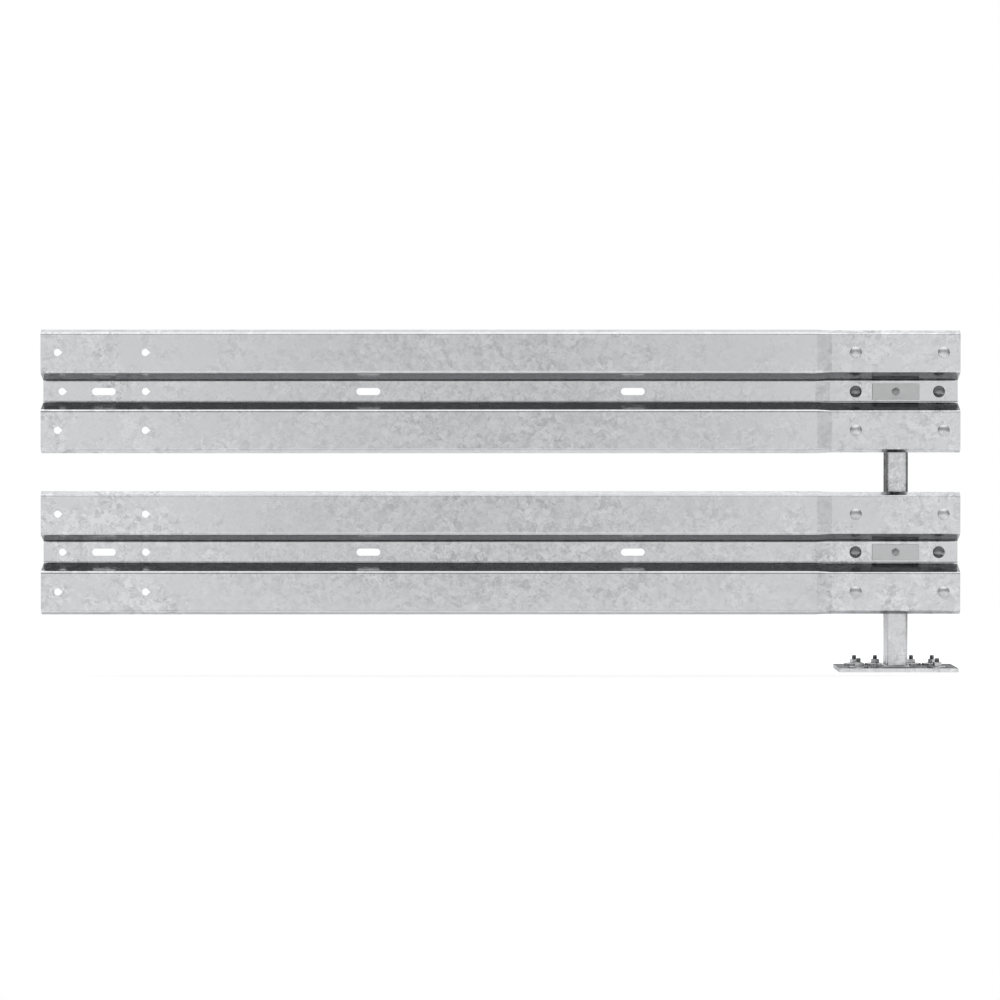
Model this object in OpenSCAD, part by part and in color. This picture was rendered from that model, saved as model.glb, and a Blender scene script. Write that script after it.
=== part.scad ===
// Double-rail highway guardrail bay: two W-profile rails on one sigma post with a bolted foot plate.
// X runs along the rails, -Y faces the traffic, Z is up from the underside of the foot plate.

/* [Bay] */
// Distance from this post to the next one along the rails
bay_length = 2000; // [1600:10:4000]
// Height of the lower rail's middle above the ground
lower_rail_z = 300; // [230:1:380]
// Height from the lower rail's middle to the upper rail's middle
rail_rise = 405; // [340:1:500]

/* [Rail sheet] */
// Thickness of the rail's steel sheet
sheet = 3; // [2:0.25:4]
// Depth from the crown faces to the front of the valley floor
wave_depth = 78; // [65:1:95]
// Height of the flat valley floor, between sharp corners
valley_floor = 48; // [46:1:60]
// Height of each slanted wall between a crown and the valley
wall_rise = 28; // [20:1:36]
// Height of each crown face, between sharp corners
crown_face = 91; // [80:1:110]
// Depth of the outer legs
leg_depth = 22; // [16:1:40]
// Height that the outer legs flare away from the crowns
leg_flare = 12; // [6:1:20]
// Outside bend radius at the crowns
crown_bend = 9; // [8.5:0.5:12]
// Inside bend radius at the valley floor
valley_bend = 5; // [3:0.5:6]

/* [Rail ends] */
// Distance from the middle of a splice to the end of the rail
end_margin = 152; // [140:1:180]
// Distance from the middle of the splice to the inner end of the joggle
joggle_reach = 207; // [190:1:240]
// Length of the slanted stretch of the joggle
joggle_length = 37; // [25:1:45]
// Distance between the crown holes of a splice
crown_pitch = 220; // [200:1:240]
// Distance between the valley holes of a splice
valley_pitch = 210; // [190:1:230]
// Diameter of the splice holes
splice_hole = 18; // [17:0.5:20]
// Distance from a splice hole's middle to the tip of its notch
notch_reach = 12.5; // [11:0.5:14]
// Length of the valley slots
slot_length = 60; // [40:1:80]
// Height of the valley slots
slot_height = 18; // [12:1:22]
// Number of slots in one bay
slots_per_bay = 3; // [1:1:4]

/* [Splice bolts] */
// Diameter of the splice bolts
splice_bolt = 16; // [12:1:16]
// Diameter of the round bolt heads
splice_head = 30; // [27:1:34]
// Height of the round bolt heads
splice_head_rise = 8; // [5:0.5:10]
// Length of the splice bolts under the head
splice_reach = 30; // [26:1:45]
// Width across the flats of the splice nuts
splice_nut = 24; // [21:1:27]
// Thickness of the splice nuts
splice_nut_rise = 13; // [10:0.5:16]

/* [Post] */
// Depth of the post from its front flange to its back flange
post_depth = 100; // [90:1:140]
// Width of the post's flanges
post_width = 55; // [50:1:70]
// Thickness of the post's wall
post_wall = 4; // [3:0.5:5]
// Outside bend radius of the post
post_bend = 8; // [6:0.5:9]
// Length of the lips on the open side
post_lip = 20; // [14:1:28]
// Depth of the groove in the web
groove_depth = 14; // [12:1:18]
// Height of the groove's floor
groove_floor = 24; // [20:1:30]
// Length of each slanted side of the groove, along the web
groove_slope = 12; // [10:1:14]
// Height of the post above the upper rail's middle
post_over = 85; // [40:1:150]

/* [Post bolts] */
// Diameter of the bolts that hold the rails to the post
post_bolt = 10; // [8:1:12]
// Width across the flats of the post bolts and nuts
post_bolt_flats = 17; // [15:1:19]
// Height of the post bolts' heads
post_head_rise = 7; // [5:0.5:9]
// Thickness of the post nuts
post_nut_rise = 8; // [6:0.5:10]
// Length of the post bolts that stands out of the nut
post_bolt_over = 5; // [2:0.5:10]
// Place of the post bolts along the rails, from the post's middle
post_bolt_x = -4; // [-6:0.5:6]
// Length of the cover straps
strap_length = 118; // [90:1:140]
// Height of the cover straps
strap_height = 40; // [34:1:40]
// Thickness of the cover straps
strap_thick = 5; // [3:0.5:6]

/* [Foot] */
// Width of the foot plate along the rails
plate_width = 300; // [270:1:360]
// Depth of the foot plate
plate_depth = 240; // [220:1:300]
// Thickness of the foot plate
plate_thick = 10; // [8:1:16]
// Leg of the fillet weld round the post
weld_leg = 5; // [3:0.5:5.5]
// Thickness of the weld's upper edge
weld_edge = 1; // [0.5:0.1:1.5]

/* [Anchors] */
// Diameter of the anchor studs
anchor = 12; // [10:1:14]
// Distance between the outer anchors along the rails
anchor_span = 198; // [190:1:230]
// Distance between the inner anchors along the rails
inner_span = 92; // [90:1:94]
// Distance between the front and back rows of anchors
anchor_rows = 156; // [152:1:180]
// Diameter of the wide washers
washer = 50; // [30:1:50]
// Thickness of the washers
washer_thick = 4; // [2.5:0.5:5]
// Width across the flats of the anchor nuts
anchor_nut = 19; // [17:1:22]
// Thickness of the anchor nuts
anchor_nut_rise = 10; // [8:0.5:13]
// Length of the stud that stands out of the nut
anchor_over = 10; // [3:0.5:20]

/* [Fits] */
// Difference between a bolt and the hole that it passes
hole_play = 1; // [0.6:0.1:2]
// Difference between a bolt and the bore of its nut or washer
nut_play = 0.6; // [0.4:0.1:1]

/* [Hidden] */
$fn = 48;
bend_steps = 5;
cut = 1;

upper_rail_z = lower_rail_z + rail_rise;
post_top = upper_rail_z + post_over;
// The joggled end lies one sheet behind the plain end, so that the next rail nests in front of it
joggle_set = sheet;
rail_front_y = -post_depth / 2 - wave_depth - joggle_set - sheet;
crown_mid = valley_floor / 2 + wall_rise + crown_face / 2;
slot_pitch = bay_length / slots_per_bay;
anchor_top = plate_thick + washer_thick + anchor_nut_rise + anchor_over;

// Front line of the upper half of the rail, as depth and height, from the lip to the valley
half_wave = [
    [leg_depth, crown_mid + crown_face / 2 + leg_flare],
    [0, crown_mid + crown_face / 2],
    [0, crown_mid - crown_face / 2],
    [wave_depth, valley_floor / 2]
];
wave_line = concat(half_wave, [for (i = [3:-1:0]) [half_wave[i].x, -half_wave[i].y]]);
wave_bends = [crown_bend, crown_bend, valley_bend, valley_bend, crown_bend, crown_bend];

// Outer line of the post, from the back lip round the web to the front lip
half_post = [
    [post_width / 2, post_depth / 2 - post_lip],
    [post_width / 2, post_depth / 2],
    [-post_width / 2, post_depth / 2],
    [-post_width / 2, groove_floor / 2 + groove_slope],
    [groove_depth - post_width / 2, groove_floor / 2]
];
post_line = concat(half_post, [for (i = [4:-1:0]) [half_post[i].x, -half_post[i].y]]);
post_bends = [for (i = [1:len(post_line) - 2]) post_bend];

// Splice points from the middle of a splice: place along the rail, height and depth of the sheet's front
splice_points = concat(
    [for (side = [-1, 1], end = [-1, 1]) [end * crown_pitch / 2, side * crown_mid, 0]],
    [for (end = [-1, 1]) [end * valley_pitch / 2, 0, wave_depth]]
);
anchor_points = concat(
    [for (row = [-1, 1], end = [-1, 1]) [end * anchor_span / 2, row * anchor_rows / 2]],
    [for (end = [-1, 1]) [end * inner_span / 2, anchor_rows / 2]]
);
splice_count = len(splice_points);
anchor_count = len(anchor_points);

rail_names = ["lower", "upper"];
rail_heights = [lower_rail_z, upper_rail_z];
rail_pieces = ["rail", "cover_strap", "post_bolt", "post_nut"];

// Bent sheet: a line of straight stretches with a round bend at each inner corner
function unit(v) = v / norm(v);
function left(u) = [-u.y, u.x];
function side(a, b) = left(unit(b - a));
function bend(a, b, c, radius, depth) =
    let (
        near = side(a, b),
        far = side(b, c),
        turn = sign(cross(b - a, c - b)),
        middle = b + turn * radius * (near + far) / (1 + near * far),
        from = atan2(near.y, near.x),
        sweep = turn * acos(near * far)
    )
    [for (k = [0:bend_steps])
        let (angle = from + sweep * k / bend_steps)
        middle - (turn * radius - depth) * [cos(angle), sin(angle)]];
function sheet_line(line, bends, depth) =
    let (last = len(line) - 1)
    concat(
        [line[0] + depth * side(line[0], line[1])],
        [for (i = [1:last - 1]) each bend(line[i - 1], line[i], line[i + 1], bends[i - 1], depth)],
        [line[last] + depth * side(line[last - 1], line[last])]
    );
function reversed(points) = [for (i = [len(points) - 1:-1:0]) points[i]];
function sheet_outline(line, bends, near, far) =
    concat(sheet_line(line, bends, near), reversed(sheet_line(line, bends, far)));

// Sheet of one section, between two depths behind its line
module sheet_run(line, bends, near, far, length) {
    linear_extrude(length)
        polygon(sheet_outline(line, bends, near, far));
}

// Sheet that changes from one pair of depths to another over its length
module sheet_change(line, bends, near, far, near_end, far_end, length) {
    start = sheet_outline(line, bends, near, far);
    end = sheet_outline(line, bends, near_end, far_end);
    count = len(start);
    half = count / 2;
    points = concat([for (p = start) [p.x, p.y, 0]], [for (p = end) [p.x, p.y, length]]);
    sides = [for (i = [0:count - 1]) [i, count + i, count + (i + 1) % count, (i + 1) % count]];
    caps = [for (i = [0:half - 2]) [i, i + 1, count - 2 - i, count - 1 - i]];
    end_caps = [for (c = caps) [for (k = [3:-1:0]) c[k] + count]];
    polyhedron(points, concat(sides, caps, end_caps));
}

// Round hole through the sheet, with a notch in one side that keeps a bolt from turning
module splice_cut(depth, notched) {
    translate([0, depth - cut, 0]) {
        rotate([-90, 0, 0])
            cylinder(d = splice_hole, h = sheet + 2 * cut);
        if (notched)
            rotate([0, 45, 0])
                cube([notch_reach / sqrt(2), sheet + 2 * cut, notch_reach / sqrt(2)]);
    }
}

module slot_cut(depth) {
    straight = slot_length - slot_height;
    translate([0, depth - cut, 0]) {
        for (end = [-1, 1])
            translate([end * straight / 2, 0, 0])
                rotate([-90, 0, 0])
                    cylinder(d = slot_height, h = sheet + 2 * cut);
        translate([-straight / 2, 0, -slot_height / 2])
            cube([straight, sheet + 2 * cut, slot_height]);
    }
}

// Rail with its plain end at -X and its joggled end at +X, from the front of its crowns
module rail() {
    plain_length = bay_length + end_margin - joggle_reach;
    set_length = joggle_reach - joggle_length + end_margin;
    difference() {
        rotate([90, 0, 90]) {
            translate([0, 0, -bay_length - end_margin])
                sheet_run(wave_line, wave_bends, 0, sheet, plain_length);
            translate([0, 0, -joggle_reach])
                sheet_change(wave_line, wave_bends, 0, sheet, joggle_set, joggle_set + sheet, joggle_length);
            translate([0, 0, joggle_length - joggle_reach])
                sheet_run(wave_line, wave_bends, joggle_set, joggle_set + sheet, set_length);
        }
        for (p = splice_points) {
            translate([p.x - bay_length, 0, p.y])
                splice_cut(p.z, true);
            translate([p.x, 0, p.y])
                splice_cut(p.z + joggle_set, false);
        }
        for (i = [1:slots_per_bay])
            translate([-i * slot_pitch, 0, 0])
                slot_cut(wave_depth);
        slot_cut(wave_depth + joggle_set);
    }
}

module hex_bar(flats, length) {
    cylinder(d = flats / cos(30), h = length, $fn = 6);
}

module nut(flats, rise, bolt) {
    difference() {
        hex_bar(flats, rise);
        translate([0, 0, -cut])
            cylinder(d = bolt + nut_play, h = rise + 2 * cut);
    }
}

// Places a fastener along +Y, with its seat on a sheet at this depth behind the crowns
module fasten(x, depth, z) {
    translate([x, rail_front_y + depth, z])
        rotate([-90, 0, 0])
            children();
}

module splice_bolt_at(rail_z, p) {
    dome = (pow(splice_head / 2, 2) + pow(splice_head_rise, 2)) / (2 * splice_head_rise);
    color("gainsboro")
        fasten(p.x, p.z + joggle_set, rail_z + p.y) {
            intersection() {
                translate([0, 0, dome - splice_head_rise])
                    sphere(dome);
                translate([0, 0, -splice_head_rise])
                    cylinder(d = splice_head + cut, h = splice_head_rise);
            }
            cylinder(d = splice_bolt, h = splice_reach);
        }
}

module splice_nut_at(rail_z, p) {
    color("darkgray")
        fasten(p.x, p.z + joggle_set + sheet, rail_z + p.y)
            nut(splice_nut, splice_nut_rise, splice_bolt);
}

module rail_at(rail_z) {
    color("silver")
        translate([0, rail_front_y, rail_z])
            rail();
}

module cover_strap_at(rail_z) {
    color("darkgray")
        translate([post_bolt_x, rail_front_y + wave_depth + joggle_set, rail_z])
            difference() {
                translate([-strap_length / 2, -strap_thick, -strap_height / 2])
                    cube([strap_length, strap_thick, strap_height]);
                translate([0, cut, 0])
                    rotate([90, 0, 0])
                        cylinder(d = post_bolt + hole_play, h = strap_thick + 2 * cut);
            }
}

module post_bolt_at(rail_z) {
    grip = strap_thick + sheet + post_wall;
    color("dimgray")
        fasten(post_bolt_x, wave_depth + joggle_set - strap_thick, rail_z) {
            translate([0, 0, -post_head_rise])
                hex_bar(post_bolt_flats, post_head_rise);
            cylinder(d = post_bolt, h = grip + post_nut_rise + post_bolt_over);
        }
}

module post_nut_at(rail_z) {
    color("darkgray")
        fasten(post_bolt_x, wave_depth + joggle_set + sheet + post_wall, rail_z)
            nut(post_bolt_flats, post_nut_rise, post_bolt);
}

module post() {
    color("silver")
        difference() {
            translate([0, 0, plate_thick])
                sheet_run(post_line, post_bends, 0, post_wall, post_top - plate_thick);
            for (z = rail_heights)
                translate([post_bolt_x, -post_depth / 2 - cut, z])
                    rotate([-90, 0, 0])
                        cylinder(d = post_bolt + hole_play, h = post_wall + 2 * cut);
        }
}

module base_plate() {
    color("darkgray")
        difference() {
            translate([-plate_width / 2, -plate_depth / 2, 0])
                cube([plate_width, plate_depth, plate_thick]);
            for (p = anchor_points)
                translate([p.x, p.y, -cut])
                    cylinder(d = anchor + 2 * hole_play, h = plate_thick + 2 * cut);
        }
}

module foot_weld() {
    color("gray")
        translate([0, 0, plate_thick])
            sheet_change(post_line, post_bends, -weld_leg, 0, -weld_edge, 0, weld_leg);
}

module anchor_stud_at(p) {
    color("dimgray")
        translate([p.x, p.y, 0])
            cylinder(d = anchor, h = anchor_top);
}

module anchor_nuts() {
    color("darkgray")
        for (p = anchor_points)
            translate([p.x, p.y, plate_thick + washer_thick])
                nut(anchor_nut, anchor_nut_rise, anchor);
}

module anchor_washers() {
    color("darkgray")
        for (p = anchor_points)
            translate([p.x, p.y, plate_thick])
                difference() {
                    cylinder(d = washer, h = washer_thick);
                    translate([0, 0, -cut])
                        cylinder(d = anchor + nut_play, h = washer_thick + 2 * cut);
                }
}

post();
base_plate();
foot_weld();
anchor_nuts();
anchor_washers();
for (i = [0:anchor_count - 1])
    anchor_stud_at(anchor_points[i]);
for (r = [0:1]) {
    name = rail_names[r];
    z = rail_heights[r];
    rail_at(z);
    cover_strap_at(z);
    post_bolt_at(z);
    post_nut_at(z);
    for (i = [0:splice_count - 1]) {
        splice_bolt_at(z, splice_points[i]);
        splice_nut_at(z, splice_points[i]);
    }
}
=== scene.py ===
import math
import bmesh
import bpy
from mathutils import Matrix, Vector


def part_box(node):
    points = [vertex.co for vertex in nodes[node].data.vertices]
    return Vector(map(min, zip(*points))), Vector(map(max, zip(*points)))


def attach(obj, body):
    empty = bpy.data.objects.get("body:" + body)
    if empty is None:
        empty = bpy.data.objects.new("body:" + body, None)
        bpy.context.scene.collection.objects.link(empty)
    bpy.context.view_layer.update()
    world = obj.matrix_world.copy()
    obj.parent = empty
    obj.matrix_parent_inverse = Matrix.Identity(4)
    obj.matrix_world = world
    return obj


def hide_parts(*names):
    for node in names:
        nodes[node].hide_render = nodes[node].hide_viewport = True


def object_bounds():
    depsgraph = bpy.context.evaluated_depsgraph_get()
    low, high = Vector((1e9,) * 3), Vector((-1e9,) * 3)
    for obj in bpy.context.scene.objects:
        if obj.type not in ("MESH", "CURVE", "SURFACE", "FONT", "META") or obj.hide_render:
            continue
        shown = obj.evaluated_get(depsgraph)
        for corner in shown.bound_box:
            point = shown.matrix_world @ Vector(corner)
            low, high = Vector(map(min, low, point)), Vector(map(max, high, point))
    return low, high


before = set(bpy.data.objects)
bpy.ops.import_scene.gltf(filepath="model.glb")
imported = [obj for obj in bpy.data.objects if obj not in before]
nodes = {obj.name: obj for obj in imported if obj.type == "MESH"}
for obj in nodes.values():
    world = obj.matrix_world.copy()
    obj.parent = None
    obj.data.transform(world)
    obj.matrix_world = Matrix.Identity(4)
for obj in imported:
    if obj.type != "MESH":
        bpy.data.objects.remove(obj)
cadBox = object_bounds()
scene = bpy.context.scene
scene.view_settings.view_transform = "Standard"
railSides = ("lower", "upper")
railMiddle = (cadBox[0].x + cadBox[1].x) / 2
mergeDistance = 1e-6  # corners closer than this become one
sameDistance = 1e-5  # coordinates closer than this count as equal
print("frame loaded:", len(nodes), "nodes")


# camera, square on to the rails
cameraSettings = {
    "aim": (-1.0015, -0.134, 0.4330),  # middle of the picture, on the crown faces
    "distance": 12.45,
    "elevation": 1.0,  # degrees above level
    "widthSeen": 2.505,  # metres across the picture at the crown faces
    "sensor": 36.0,
    "farthest": 100.0,  # metres, nothing beyond is drawn
}


def makeCamera(s):
    camera = bpy.data.objects.new("camera", bpy.data.cameras.new("camera"))
    scene.collection.objects.link(camera)
    tilt = math.radians(s["elevation"])
    back = Vector((0, -math.cos(tilt), math.sin(tilt))) * s["distance"]
    camera.location = Vector(s["aim"]) + back
    camera.rotation_euler = (math.pi / 2 - tilt, 0, 0)
    camera.data.sensor_width = s["sensor"]
    camera.data.lens = s["sensor"] * s["distance"] / s["widthSeen"]
    camera.data.clip_end = s["farthest"]
    scene.camera = camera


makeCamera(cameraSettings)
print("camera set")


# node helpers
def addNode(tree, kind, inputs=None, **values):
    node = tree.nodes.new(kind)
    for name, value in values.items():
        setattr(node, name, value)
    for name, value in (inputs or {}).items():
        node.inputs[name].default_value = value
    return node


def addNoise(tree, place, scale, detail, roughness):
    noise = addNode(tree, "ShaderNodeTexNoise", {"Scale": scale, "Detail": detail, "Roughness": roughness})
    tree.links.new(place, noise.inputs["Vector"])
    return noise


def mixColours(tree, factor, low, high):
    mix = addNode(tree, "ShaderNodeMix", data_type="RGBA", clamp_factor=True)
    factorIn, lowIn, highIn = (s for s in mix.inputs if s.enabled)
    tree.links.new(factor, factorIn)
    lowIn.default_value = (*low, 1)
    highIn.default_value = (*high, 1)
    return next(s for s in mix.outputs if s.enabled)


def mathNode(tree, operation, a, b=0.0):
    node = addNode(tree, "ShaderNodeMath", operation=operation)
    for socket, value in zip(node.inputs, (a, b)):
        if isinstance(value, (int, float)):
            socket.default_value = value
        else:
            tree.links.new(value, socket)
    return node.outputs[0]


def mapRange(tree, value, low, high, toLow, toHigh):
    node = addNode(
        tree,
        "ShaderNodeMapRange",
        {"From Min": low, "From Max": high, "To Min": toLow, "To Max": toHigh},
        clamp=True,
    )
    tree.links.new(value, node.inputs["Value"])
    return node.outputs["Result"]


# colours in linear grey, and how strongly the frost shows
galvanisedFinishes = {
    "galvanised_rail": {
        "dark": (0.33, 0.333, 0.341),
        "light": (0.61, 0.614, 0.624),
        "rough": 0.16,
        "frost": 1.1,
    },
    "galvanised_post": {
        "dark": (0.33, 0.333, 0.341),
        "light": (0.61, 0.614, 0.624),
        "rough": 0.17,
        "frost": 1.3,
    },
    "galvanised_plate": {
        "dark": (0.42, 0.423, 0.430),
        "light": (0.72, 0.724, 0.733),
        "rough": 0.22,
        "frost": 1.1,
    },
    "weld": {
        "dark": (0.38, 0.383, 0.390),
        "light": (0.66, 0.664, 0.672),
        "rough": 0.34,
        "frost": 0.8,
    },
    "strap": {
        "dark": (0.39, 0.392, 0.396),
        "light": (0.54, 0.543, 0.547),
        "rough": 0.34,
        "frost": 0.4,
    },
    "bolt_steel": {
        "dark": (0.33, 0.333, 0.338),
        "light": (0.62, 0.624, 0.630),
        "rough": 0.38,
        "frost": 0.8,
    },
    # a darker copy of bolt_steel: on the splice bolts in the valley this darkness is painted shade, on the
    # post bolts it is their darker tone
    "dark_bolt_steel_and_painted_valley_shade": {
        "dark": (0.15, 0.152, 0.155),
        "light": (0.33, 0.332, 0.336),
        "rough": 0.30,
        "frost": 0.8,
        "slot": "bolt_steel",
    },
    "anchor_steel": {
        "dark": (0.34, 0.343, 0.348),
        "light": (0.62, 0.624, 0.630),
        "rough": 0.26,
        "frost": 0.7,
    },
    "dark_anchor_steel": {
        "dark": (0.14, 0.142, 0.145),
        "light": (0.30, 0.302, 0.306),
        "rough": 0.30,
        "frost": 0.7,
        "slot": "anchor_steel",
    },
}

# hot-dip zinc: soft frost patches of two sizes, gathered in clouds
zincSettings = {
    "edgeTint": (0.34, 0.34, 0.35, 1),  # dull, also at a low angle
    "warpScale": 48.0,  # gives the frost patches ragged edges
    "warpDetail": 4.0,
    "warpRoughness": 0.62,
    "warpShift": 0.034,
    "coarseScale": 62.0,
    "coarseShare": 0.5,
    "fineScale": 150.0,
    "fineShare": 0.6,
    "cloudScale": 11.0,
    "cloudSpan": (0.40, 0.62),  # part of the noise that is used
    "cloudFrost": (0.25, 0.85),  # between the clouds and in them
    "cloudDetail": 4.0,
    "cloudRoughness": 0.6,
    "endSpan": (0.60, 1.0),  # metres from the middle of the rails
    "endFrost": (0.60, 1.35),  # stronger towards the ends
    "driftScale": 3.0,  # slow change of tone over the steel
    "driftSpan": (0.3, 0.7),
    "drift": 0.05,
    "tone": 0.62,  # share of the light colour in plain zinc
    "roughSpread": 0.07,
    "grainScale": 380.0,
    "grainDetail": 3.0,
    "grainRoughness": 0.5,
    "grainStrength": 0.05,
    "grainDepth": 0.0006,
}


def galvanised(name, finish, s):
    material = bpy.data.materials.new(name)
    material.use_nodes = True
    tree = material.node_tree
    shader = tree.nodes["Principled BSDF"]
    shader.inputs["Metallic"].default_value = 1.0
    shader.inputs["Specular Tint"].default_value = s["edgeTint"]
    place = addNode(tree, "ShaderNodeTexCoord").outputs["Object"]

    warp = addNoise(tree, place, s["warpScale"], s["warpDetail"], s["warpRoughness"])
    shift = addNode(tree, "ShaderNodeVectorMath", operation="MULTIPLY_ADD")
    tree.links.new(warp.outputs["Color"], shift.inputs[0])
    shift.inputs[1].default_value = (s["warpShift"],) * 3
    tree.links.new(place, shift.inputs[2])

    def patches(scale, share):
        cells = addNode(tree, "ShaderNodeTexVoronoi", {"Scale": scale, "Randomness": 1.0}, feature="F1")
        tree.links.new(shift.outputs[0], cells.inputs["Vector"])
        split = addNode(tree, "ShaderNodeSeparateColor")
        tree.links.new(cells.outputs["Color"], split.inputs["Color"])
        centred = mathNode(tree, "SUBTRACT", split.outputs["Red"], 0.5)
        return mathNode(tree, "MULTIPLY", centred, share)

    def cloud(scale, span, low, high):
        noise = addNoise(tree, place, scale, s["cloudDetail"], s["cloudRoughness"])
        return mapRange(tree, noise.outputs["Fac"], *span, low, high)

    coarse = patches(s["coarseScale"], s["coarseShare"])
    fine = patches(s["fineScale"], s["fineShare"])
    both = mathNode(tree, "ADD", coarse, fine)
    along = addNode(tree, "ShaderNodeSeparateXYZ")
    tree.links.new(place, along.inputs[0])
    fromMiddle = mathNode(tree, "ABSOLUTE", mathNode(tree, "SUBTRACT", along.outputs["X"], railMiddle))
    ends = mapRange(tree, fromMiddle, *s["endSpan"], *s["endFrost"])
    low, high = (share * finish["frost"] for share in s["cloudFrost"])
    clouds = cloud(s["cloudScale"], s["cloudSpan"], low, high)
    gathered = mathNode(tree, "MULTIPLY", both, mathNode(tree, "MULTIPLY", clouds, ends))
    drift = cloud(s["driftScale"], s["driftSpan"], -s["drift"], s["drift"])
    level = mathNode(tree, "ADD", mathNode(tree, "ADD", gathered, drift), s["tone"])
    tree.links.new(mixColours(tree, level, finish["dark"], finish["light"]), shader.inputs["Base Color"])

    smooth = finish["rough"] - s["roughSpread"]
    rough = finish["rough"] + s["roughSpread"]
    tree.links.new(mapRange(tree, both, -0.5, 0.5, smooth, rough), shader.inputs["Roughness"])
    grain = addNoise(tree, place, s["grainScale"], s["grainDetail"], s["grainRoughness"])
    bump = addNode(tree, "ShaderNodeBump", {"Strength": s["grainStrength"], "Distance": s["grainDepth"]})
    tree.links.new(grain.outputs["Fac"], bump.inputs["Height"])
    tree.links.new(bump.outputs["Normal"], shader.inputs["Normal"])
    return material


finishes = {name: galvanised(name, finish, zincSettings) for name, finish in galvanisedFinishes.items()}
print("finishes made:", len(finishes))


# a piece stands for its node, and is named after it and its form
def makePiece(bm, node, form, finish):
    bmesh.ops.remove_doubles(bm, verts=bm.verts, dist=mergeDistance)
    name = f"{node}_{form}"
    mesh = bpy.data.meshes.new(name)
    bm.to_mesh(mesh)
    bm.free()
    mesh.materials.append(finishes[finish])
    piece = bpy.data.objects.new(name, mesh)
    scene.collection.objects.link(piece)
    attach(piece, "root")
    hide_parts(node)
    return piece


def shadeRound(bm, sharpAngle):
    for face in bm.faces:
        face.smooth = True
    for edge in bm.edges:
        edge.smooth = len(edge.link_faces) == 2 and edge.calc_face_angle(0) < sharpAngle


# rails, straps, post and plate: the sheet itself, with its cut edges eased
sheetSettings = {
    "edgeEase": 0.0006,  # rounding of cut edges
    "easeSteps": 2,
    "sharpAngle": math.radians(50),  # cut edges are sharper than this, bend steps are not
    "flatAngle": math.radians(0.5),
    "joggleAngle": math.radians(2),
}
plateSettings = {**sheetSettings, "edgeEase": 0.0012}

# heights from the middle of a rail, in the solid and as drawn: wide crown faces, steep valley walls
waveHeights = (
    (0.0, 0.0),
    (0.0125, 0.0125),  # slots stay
    (0.0205, 0.0229),  # valley floor ends
    (0.0252, 0.0284),
    (0.0499, 0.0439),
    (0.0583, 0.0527),  # crown face starts
    (0.0850, 0.0850),  # bolt holes stay
    (0.1100, 0.1100),
    (0.1377, 0.1422),  # crown face ends
    (0.1550, 0.1550),
)


def drawnHeight(height):
    for (low, toLow), (high, toHigh) in zip(waveHeights, waveHeights[1:]):
        if height <= high:
            return toLow + (toHigh - toLow) * (height - low) / (high - low)
    return height


def spreadCrowns(bm, middle):
    for v in bm.verts:
        height = v.co.z - middle
        v.co.z = middle + math.copysign(drawnHeight(abs(height)), height)


def easedSheet(node, finish, s):
    bm = bmesh.new()
    bm.from_mesh(nodes[node].data)
    bmesh.ops.remove_doubles(bm, verts=bm.verts, dist=mergeDistance)
    if node.endswith("_rail"):
        low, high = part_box(node)
        spreadCrowns(bm, (low.z + high.z) / 2)
    bmesh.ops.dissolve_limit(bm, angle_limit=s["flatAngle"], verts=bm.verts, edges=bm.edges)
    cutEdges = [e for e in bm.edges if len(e.link_faces) == 2 and e.calc_face_angle(0) > s["sharpAngle"]]
    bmesh.ops.bevel(
        bm,
        geom=cutEdges,
        offset=s["edgeEase"],
        segments=s["easeSteps"],
        profile=0.5,
        affect="EDGES",
        clamp_overlap=True,
        material=-1,
    )
    shadeRound(bm, s["sharpAngle"])
    for edge in bm.edges:  # the joggle is set off by crisp lines across the sheet
        across = abs(edge.verts[0].co.x - edge.verts[1].co.x) < sameDistance
        if across and edge.calc_face_angle(0) > s["joggleAngle"]:
            edge.smooth = False
    piece = makePiece(bm, node, "sheet", finish)
    weighted = piece.modifiers.new("levelNormals", "WEIGHTED_NORMAL")
    weighted.keep_sharp = True


for side in railSides:
    easedSheet(side + "_rail", "galvanised_rail", sheetSettings)
    easedSheet(side + "_cover_strap", "strap", sheetSettings)
easedSheet("post", "galvanised_post", sheetSettings)
easedSheet("base_plate", "galvanised_plate", plateSettings)
print("sheet pieces eased")


# fastener shapes are made round the z axis, with the shank up
fastenerSharpAngle = math.radians(32)


def finishFastener(bm, node, form, finish):
    bmesh.ops.recalc_face_normals(bm, faces=bm.faces)
    shadeRound(bm, fastenerSharpAngle)
    makePiece(bm, node, form, finish)


def layInBox(bm, low, high, headRise=0):  # shank points to the back of the rails
    bmesh.ops.rotate(bm, verts=bm.verts, cent=(0, 0, 0), matrix=Matrix.Rotation(-math.pi / 2, 3, "X"))
    where = ((low.x + high.x) / 2, low.y + headRise, (low.z + high.z) / 2)
    bmesh.ops.translate(bm, verts=bm.verts, vec=where)


def joinInto(bm, part, where):
    bmesh.ops.translate(part, verts=part.verts, vec=where)
    mesh = bpy.data.meshes.new("joined")
    part.to_mesh(mesh)
    part.free()
    bm.from_mesh(mesh)
    bpy.data.meshes.remove(mesh)


def rimEdges(ring):
    members = set(ring)
    touching = dict.fromkeys(e for v in ring for e in v.link_edges)  # each edge once, in a fixed order
    return [e for e in touching if e.verts[0] in members and e.verts[1] in members]


def addPrism(bm, sides, radius, bottom, top, capped=True):
    bmesh.ops.create_cone(
        bm,
        cap_ends=capped,
        segments=sides,
        radius1=radius,
        radius2=radius,
        depth=top - bottom,
        matrix=Matrix.Translation((0, 0, (top + bottom) / 2)),
    )


def addOutline(bm, points):  # closed, from (radius, height) points
    corners = [bm.verts.new((radius, 0, height)) for radius, height in points]
    edges = [bm.edges.new(ends) for ends in zip(corners, corners[1:] + corners[:1])]
    return corners, edges


def spinRound(bm, geom, steps):
    bmesh.ops.spin(
        bm,
        geom=geom,
        cent=(0, 0, 0),
        axis=(0, 0, 1),
        angle=2 * math.pi,
        steps=steps,
        use_merge=True,
    )


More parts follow.
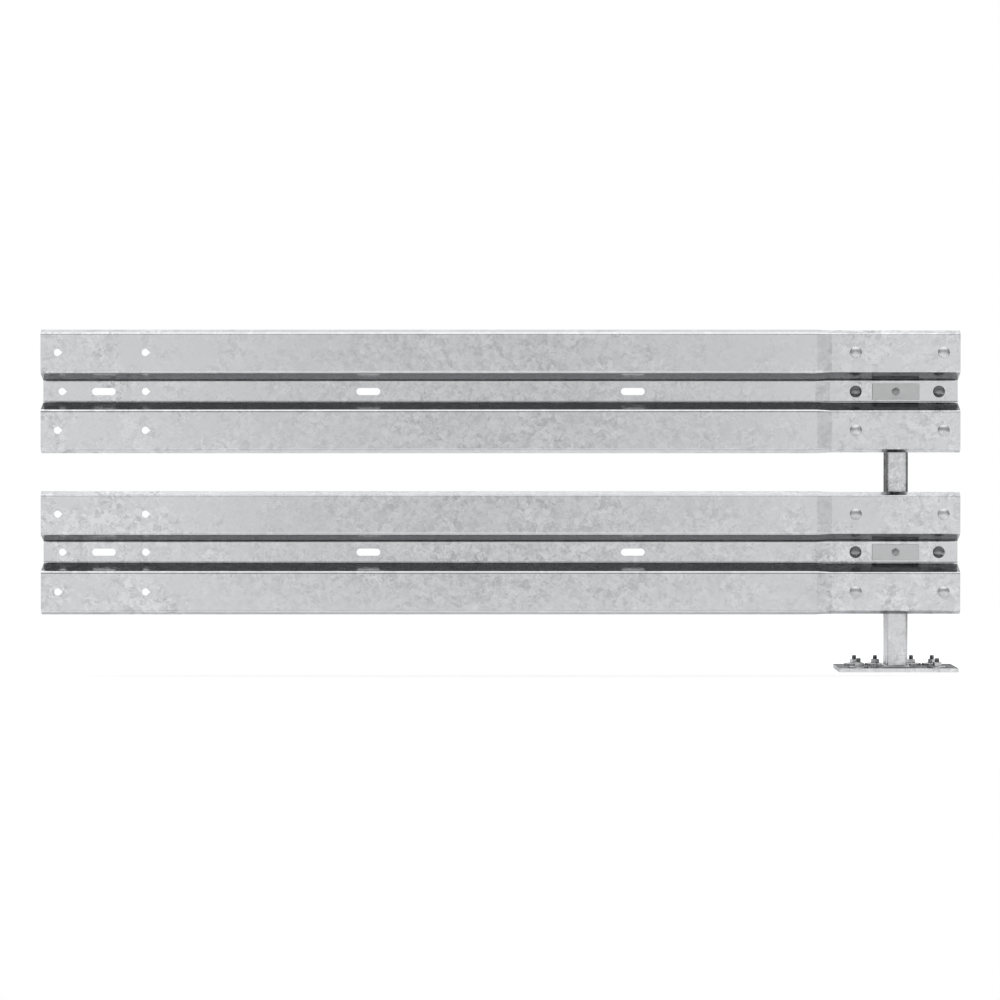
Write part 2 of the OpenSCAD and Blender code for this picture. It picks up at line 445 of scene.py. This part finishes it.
# hex heads and nuts, with the corners turned off at both ends
hexSettings = {
    "rimCuts": 5,  # cuts in each flat's edge, so that the chamfer runs in arcs
    "chamferSlope": math.tan(math.radians(30)),
    "chamferFrom": 0.49,  # radius, as a share of the width across flats
    "faceRadius": 0.475,
    "boreChamfer": 0.0009,
}


def addHex(bm, flats, bottom, top, bore, s):
    addPrism(bm, 6, flats / 2 / math.cos(math.pi / 6), bottom, top, capped=False)
    rims = [e for e in bm.edges if abs(e.verts[0].co.z - e.verts[1].co.z) < sameDistance]
    bmesh.ops.subdivide_edges(bm, edges=rims, cuts=s["rimCuts"], use_grid_fill=True)
    made = list(bm.verts)
    middle = (top + bottom) / 2
    openRims = []
    for end, sign in ((top, 1), (bottom, -1)):
        ring = [v for v in made if (v.co.z - middle) * sign > 0]
        edges = rimEdges(ring)
        for v in ring:
            v.co.z -= sign * max(0, v.co.xy.length - flats * s["chamferFrom"]) * s["chamferSlope"]
        steps = [(flats * s["faceRadius"], end)]
        if bore:
            chamfer = s["boreChamfer"]
            steps += [(bore / 2 + chamfer, end), (bore / 2, end - sign * chamfer)]
        for radius, height in steps:
            grown = bmesh.ops.extrude_edge_only(bm, edges=edges)["geom"]
            ring = [g for g in grown if isinstance(g, bmesh.types.BMVert)]
            edges = rimEdges(ring)
            for v in ring:
                v.co = (*(v.co.xy.normalized() * radius), height)
        openRims.append(edges)
    if bore:
        bmesh.ops.bridge_loops(bm, edges=openRims[0] + openRims[1])
    else:
        for edges in openRims:
            bmesh.ops.edgeloop_fill(bm, edges=edges)


# threaded shanks and studs: a core with a ridge wound round it
threadSettings = {
    "rodSides": 28,
    "turnSteps": 20,
    "depth": 0.55,  # as shares of the pitch
    "halfRidge": 0.46,
    "firstRidge": 0.5,
    "runOut": 0.9,
    "rootSink": 0.0002,  # how far the ridge reaches into the core
}


def addRod(bm, diameter, bottom, top, threadFrom, pitch, s):
    outer = diameter / 2
    core = outer - s["depth"] * pitch
    addPrism(bm, s["rodSides"], core, bottom, top)
    if threadFrom > bottom:  # plain stretch below the thread
        addPrism(bm, s["rodSides"], outer, bottom, threadFrom)
    root = core - s["rootSink"]
    crest = threadFrom + s["firstRidge"] * pitch
    half = s["halfRidge"] * pitch
    ridge, edges = addOutline(bm, ((root, crest - half), (outer, crest), (root, crest + half)))
    bm.faces.new(ridge)
    turns = int((top - threadFrom) / pitch - s["runOut"])
    swept = bmesh.ops.spin(
        bm,
        geom=edges + ridge,
        cent=(0, 0, 0),
        axis=(0, 0, 1),
        dvec=(0, 0, pitch / s["turnSteps"]),
        angle=turns * 2 * math.pi,
        steps=turns * s["turnSteps"],
        use_merge=False,
        use_duplicate=False,
    )
    bm.faces.new([g for g in swept["geom_last"] if isinstance(g, bmesh.types.BMVert)])


# round-head splice bolts and their nuts
spliceSettings = {
    "count": 6,
    "valleyBolts": (5, 6),  # these are darker: painted shade of the valley in their colour
    "headRise": 0.008,
    "rim": 0.0016,  # upright rim of the round head
    "arcSteps": 12,
    "spinSteps": 48,
    "diameter": 0.016,
    "pitch": 0.002,
    "plainLength": 0.008,
    "boreGap": 0.0003,
}


def addRoundHead(bm, diameter, s):
    rise = s["headRise"] - s["rim"]
    half = diameter / 2
    radius = (half * half + rise * rise) / (2 * rise)
    sweep = math.asin(half / radius)
    line = [bm.verts.new((0, 0, 0)), bm.verts.new((half, 0, 0))]
    for i in range(s["arcSteps"] + 1):
        angle = sweep * (1 - i / s["arcSteps"])
        fromTop = radius * (1 - math.cos(angle))
        line.append(bm.verts.new((radius * math.sin(angle), 0, fromTop - s["headRise"])))
    edges = [bm.edges.new(ends) for ends in zip(line, line[1:])]
    spinRound(bm, edges + line, s["spinSteps"])
    bmesh.ops.remove_doubles(bm, verts=bm.verts, dist=mergeDistance)


def addShank(bm, low, high, s):
    length = high.y - low.y - s["headRise"]
    addRod(bm, s["diameter"], 0, length, s["plainLength"], s["pitch"], threadSettings)
    layInBox(bm, low, high, s["headRise"])


def spliceBolt(node, finish, s):
    low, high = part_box(node)
    bm = bmesh.new()
    addRoundHead(bm, high.x - low.x, s)
    addShank(bm, low, high, s)
    finishFastener(bm, node, "turned", finish)


def hexNut(node, s):
    low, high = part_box(node)
    bm = bmesh.new()
    addHex(bm, high.z - low.z, 0, high.y - low.y, s["diameter"] + 2 * s["boreGap"], hexSettings)
    layInBox(bm, low, high)
    finishFastener(bm, node, "pressed", "bolt_steel")


for side in railSides:
    for i in range(1, spliceSettings["count"] + 1):
        # the splice bolts in the valley get the darker colour, painted shade of the valley
        finish = "dark_bolt_steel_and_painted_valley_shade" if i in spliceSettings["valleyBolts"] else "bolt_steel"
        spliceBolt(f"{side}_splice_bolt_{i}", finish, spliceSettings)
        hexNut(f"{side}_splice_nut_{i}", spliceSettings)
print("splice bolts made")


# hex bolts through the cover straps, and their nuts in the post
postBoltSettings = {
    "headRise": 0.007,
    "diameter": 0.010,
    "pitch": 0.0015,
    "plainLength": 0.010,
    "boreGap": 0.0003,
}


def postBolt(node, s):
    low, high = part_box(node)
    bm = bmesh.new()
    addHex(bm, high.z - low.z, -s["headRise"], 0, 0, hexSettings)
    addShank(bm, low, high, s)
    finishFastener(bm, node, "turned", "dark_bolt_steel_and_painted_valley_shade")


for side in railSides:
    postBolt(side + "_post_bolt", postBoltSettings)
    hexNut(side + "_post_nut", postBoltSettings)
print("post bolts made")


# anchors: studs through the plate, with a wide washer and a nut each
anchorSettings = {
    "count": 6,
    "diameter": 0.012,
    "pitch": 0.00175,
    "plainLength": 0.010,
    "flats": 0.019,
    "firstTurn": 5,  # degrees: nuts stop at their own angles
    "turnStep": 17,
    "washer": 0.050,
    "washerEase": 0.0008,
    "washerSteps": 48,
    "boreGap": 0.0003,
}


def anchorPlaces(s):
    boxes = [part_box(f"anchor_stud_{i + 1}") for i in range(s["count"])]
    return [((low.x + high.x) / 2, (low.y + high.y) / 2) for low, high in boxes]


def anchorStuds(s):
    for i, (x, y) in enumerate(anchorPlaces(s)):
        node = f"anchor_stud_{i + 1}"
        low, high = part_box(node)
        bm = bmesh.new()
        addRod(bm, s["diameter"], low.z, high.z, s["plainLength"], s["pitch"], threadSettings)
        bmesh.ops.translate(bm, verts=bm.verts, vec=(x, y, 0))
        finishFastener(bm, node, "threaded", "dark_anchor_steel")


def anchorNuts(s):
    low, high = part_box("anchor_nuts")
    bm = bmesh.new()
    for i, (x, y) in enumerate(anchorPlaces(s)):
        nut = bmesh.new()
        addHex(nut, s["flats"], low.z, high.z, s["diameter"] + 2 * s["boreGap"], hexSettings)
        turn = Matrix.Rotation(math.radians(s["turnStep"] * i + s["firstTurn"]), 3, "Z")
        bmesh.ops.rotate(nut, verts=nut.verts, cent=(0, 0, 0), matrix=turn)
        joinInto(bm, nut, (x, y, 0))
    finishFastener(bm, "anchor_nuts", "pressed", "anchor_steel")


def anchorWashers(s):
    low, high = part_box("anchor_washers")
    inner = s["diameter"] / 2 + s["boreGap"]
    outer = s["washer"] / 2
    ease = s["washerEase"]
    outline = (
        (inner, low.z),
        (outer, low.z),
        (outer, high.z - ease),
        (outer - ease, high.z),
        (inner, high.z),
    )
    bm = bmesh.new()
    for x, y in anchorPlaces(s):
        washer = bmesh.new()
        corners, edges = addOutline(washer, outline)
        spinRound(washer, edges + corners, s["washerSteps"])
        joinInto(bm, washer, (x, y, 0))
    finishFastener(bm, "anchor_washers", "stamped", "anchor_steel")


anchorStuds(anchorSettings)
anchorNuts(anchorSettings)
anchorWashers(anchorSettings)
print("anchors made")


# weld bead round the foot of the post, laid in small ripples
weldSettings = {
    "bead": 0.0046,
    "beadSides": 12,
    "ripple": 0.0022,  # from one ripple to the next
    "rippleDepth": 0.10,  # share of the bead
    "postBend": 0.008,
    "bendSteps": 6,
    "grooveDepth": 0.014,
    "grooveFloor": 0.024,
    "grooveSlope": 0.012,
    "lip": 0.020,
}


def roundedLine(points, radius, bendSteps, step):
    line = [points[0]]
    for before, corner, after in zip(points, points[1:], points[2:]):
        inward = (before - corner).normalized()
        outward = (after - corner).normalized()
        cut = radius * math.tan((math.pi - inward.angle(outward)) / 2)
        start = corner + inward * cut
        end = corner + outward * cut
        for i in range(bendSteps + 1):
            t = i / bendSteps
            line.append(start.lerp(corner, t).lerp(corner.lerp(end, t), t))
    line.append(points[-1])
    places = [line[0]]
    left = step
    for a, b in zip(line, line[1:]):
        span = (b - a).length
        while left < span:
            places.append(a.lerp(b, left / span))
            left += step
        left -= span
    return places


def weldBead(s):
    postLow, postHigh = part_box("post")
    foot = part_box("foot_weld")[0].z
    up = Vector((0, 0, 1))
    half = [
        Vector((postHigh.x, postHigh.y - s["lip"], foot)),
        Vector((postHigh.x, postHigh.y, foot)),
        Vector((postLow.x, postHigh.y, foot)),
        Vector((postLow.x, s["grooveFloor"] / 2 + s["grooveSlope"], foot)),
        Vector((postLow.x + s["grooveDepth"], s["grooveFloor"] / 2, foot)),
    ]
    points = half + [Vector((p.x, -p.y, p.z)) for p in reversed(half)]
    places = roundedLine(points, s["postBend"], s["bendSteps"], s["ripple"] / 2)
    last = len(places) - 1
    bm = bmesh.new()
    ring = None
    for i, place in enumerate(places):
        along = (places[min(i + 1, last)] - places[max(i - 1, 0)]).normalized()
        across = along.cross(up)
        turned = Matrix((across, up, along)).transposed().to_4x4()
        made = bmesh.ops.create_circle(
            bm,
            cap_ends=i in (0, last),
            segments=s["beadSides"],
            radius=s["bead"] * (1 + s["rippleDepth"] * (1 if i % 2 else -1)),
            matrix=Matrix.Translation(place) @ turned,
        )["verts"]
        for v in made:
            v.co.z = max(v.co.z, foot)  # flat on the plate
        edges = rimEdges(made)
        if ring:
            bmesh.ops.bridge_loops(bm, edges=ring + edges)
        ring = edges
    finishFastener(bm, "foot_weld", "bead", "weld")


weldBead(weldSettings)
print("weld made")


# floor and sky are whiter where they are seen as the background, or mirrored in metal
def seenOrMirrored(tree):
    path = addNode(tree, "ShaderNodeLightPath")
    seen = path.outputs["Is Camera Ray"]
    mirrored = mathNode(tree, "MAXIMUM", path.outputs["Is Glossy Ray"], path.outputs["Is Transmission Ray"])
    return seen, mirrored


def mixWithWhite(tree, factor, plain, white, output):
    mix = addNode(tree, "ShaderNodeMixShader")
    tree.links.new(factor, mix.inputs["Fac"])
    tree.links.new(plain.outputs[0], mix.inputs[1])
    tree.links.new(white.outputs[0], mix.inputs[2])
    tree.links.new(mix.outputs[0], addNode(tree, output).inputs["Surface"])


floorSettings = {
    "size": 7.0,
    "colour": (0.90, 0.90, 0.90, 1),
    "seenWhite": 0.55,  # share of plain white where the floor is seen
    "mirroredWhite": 0.2,  # and where metal mirrors it
}


def makeFloor(s):
    bm = bmesh.new()
    bmesh.ops.create_grid(bm, x_segments=1, y_segments=1, size=s["size"] / 2)
    mesh = bpy.data.meshes.new("floor")
    bm.to_mesh(mesh)
    bm.free()
    floor = bpy.data.objects.new("floor", mesh)
    floor.location = (railMiddle, 0, cadBox[0].z)
    scene.collection.objects.link(floor)
    material = bpy.data.materials.new("paleFloor")
    material.use_nodes = True
    tree = material.node_tree
    tree.nodes.clear()
    plain = addNode(tree, "ShaderNodeBsdfDiffuse", {"Color": s["colour"]})
    white = addNode(tree, "ShaderNodeEmission", {"Color": (1, 1, 1, 1), "Strength": 1.0})
    seen, mirrored = seenOrMirrored(tree)
    seenPart = mathNode(tree, "MULTIPLY", seen, s["seenWhite"])
    mirroredPart = mathNode(tree, "MULTIPLY", mirrored, s["mirroredWhite"])
    factor = mathNode(tree, "MAXIMUM", seenPart, mirroredPart)
    mixWithWhite(tree, factor, plain, white, "ShaderNodeOutputMaterial")
    mesh.materials.append(material)


# brightness of the sky by direction: x to the side, y to the back, z up
skySettings = {
    "front": 1.50,  # level with the rails, from the camera's side
    "middle": 0.64,  # shares of it straight behind the camera, beside it and further out
    "beside": 1.16,
    "outer": 0.70,
    "back": 0.28,  # level with the rails, from the sides and the back
    "bandFront": 0.56,  # above the level stretch
    "overBack": 2.6,  # above and behind the rails
    "top": 2.4,
    "besideX": (0.0, 0.085),  # where one brightness runs into the next
    "outerX": (0.11, 0.19),
    "backY": (-0.95, -0.35),
    "bandY": (-0.4, 0.2),
    "overY": (-0.1, 0.2),
    "bandZ": (0.10, 0.24),
    "overZ": (0.40, 0.54),
    "topZ": (0.62, 0.76),
    "mirroredY": (0.990, 0.998),  # straight behind, white where metal mirrors it
}


def mixValues(tree, factor, low, high):
    change = mathNode(tree, "SUBTRACT", high, low)
    return mathNode(tree, "ADD", low, mathNode(tree, "MULTIPLY", factor, change))


def makeSky(s):
    world = bpy.data.worlds.new("studio")
    scene.world = world
    world.use_nodes = True
    tree = world.node_tree
    tree.nodes.clear()
    direction = addNode(tree, "ShaderNodeSeparateXYZ")
    tree.links.new(addNode(tree, "ShaderNodeTexCoord").outputs["Generated"], direction.inputs[0])
    aside = mathNode(tree, "ABSOLUTE", direction.outputs["X"])
    behind = direction.outputs["Y"]
    height = mathNode(tree, "ABSOLUTE", direction.outputs["Z"])
    panel = mathNode(
        tree,
        "MULTIPLY",
        mapRange(tree, aside, *s["besideX"], s["front"] * s["middle"], s["front"] * s["beside"]),
        mapRange(tree, aside, *s["outerX"], 1.0, s["outer"]),
    )
    whole = mixValues(tree, mapRange(tree, behind, *s["backY"], 0.0, 1.0), panel, s["back"])
    band = mapRange(tree, behind, *s["bandY"], s["bandFront"], s["back"])
    over = mapRange(tree, behind, *s["overY"], s["bandFront"], s["overBack"])
    for rise, level in ((s["bandZ"], band), (s["overZ"], over), (s["topZ"], s["top"])):
        whole = mixValues(tree, mapRange(tree, height, *rise, 0.0, 1.0), whole, level)
    light = addNode(tree, "ShaderNodeBackground")
    tree.links.new(whole, light.inputs["Strength"])
    white = addNode(tree, "ShaderNodeBackground", {"Color": (1, 1, 1, 1), "Strength": 1.0})
    seen, mirrored = seenOrMirrored(tree)
    straightBehind = mapRange(tree, behind, *s["mirroredY"], 0.0, 1.0)
    factor = mathNode(tree, "MAXIMUM", seen, mathNode(tree, "MULTIPLY", mirrored, straightBehind))
    mixWithWhite(tree, factor, light, white, "ShaderNodeOutputWorld")


# long soft box behind the rails, so that their lower legs mirror a bright floor
softBoxSettings = {"behind": 0.85, "height": 1.95, "length": 3.2, "depth": 0.9, "watts": 48.0}


def makeSoftBox(s):
    lamp = bpy.data.lights.new("softBox", "AREA")
    lamp.shape = "RECTANGLE"
    lamp.size = s["length"]
    lamp.size_y = s["depth"]
    lamp.energy = s["watts"]
    box = bpy.data.objects.new("softBox", lamp)
    box.location = (railMiddle, s["behind"], s["height"])  # shines straight down
    box.visible_glossy = False  # lights the floor, and isn't mirrored itself
    scene.collection.objects.link(box)


makeFloor(floorSettings)
makeSky(skySettings)
makeSoftBox(softBoxSettings)
print("stage set")

bpy.context.view_layer.update()
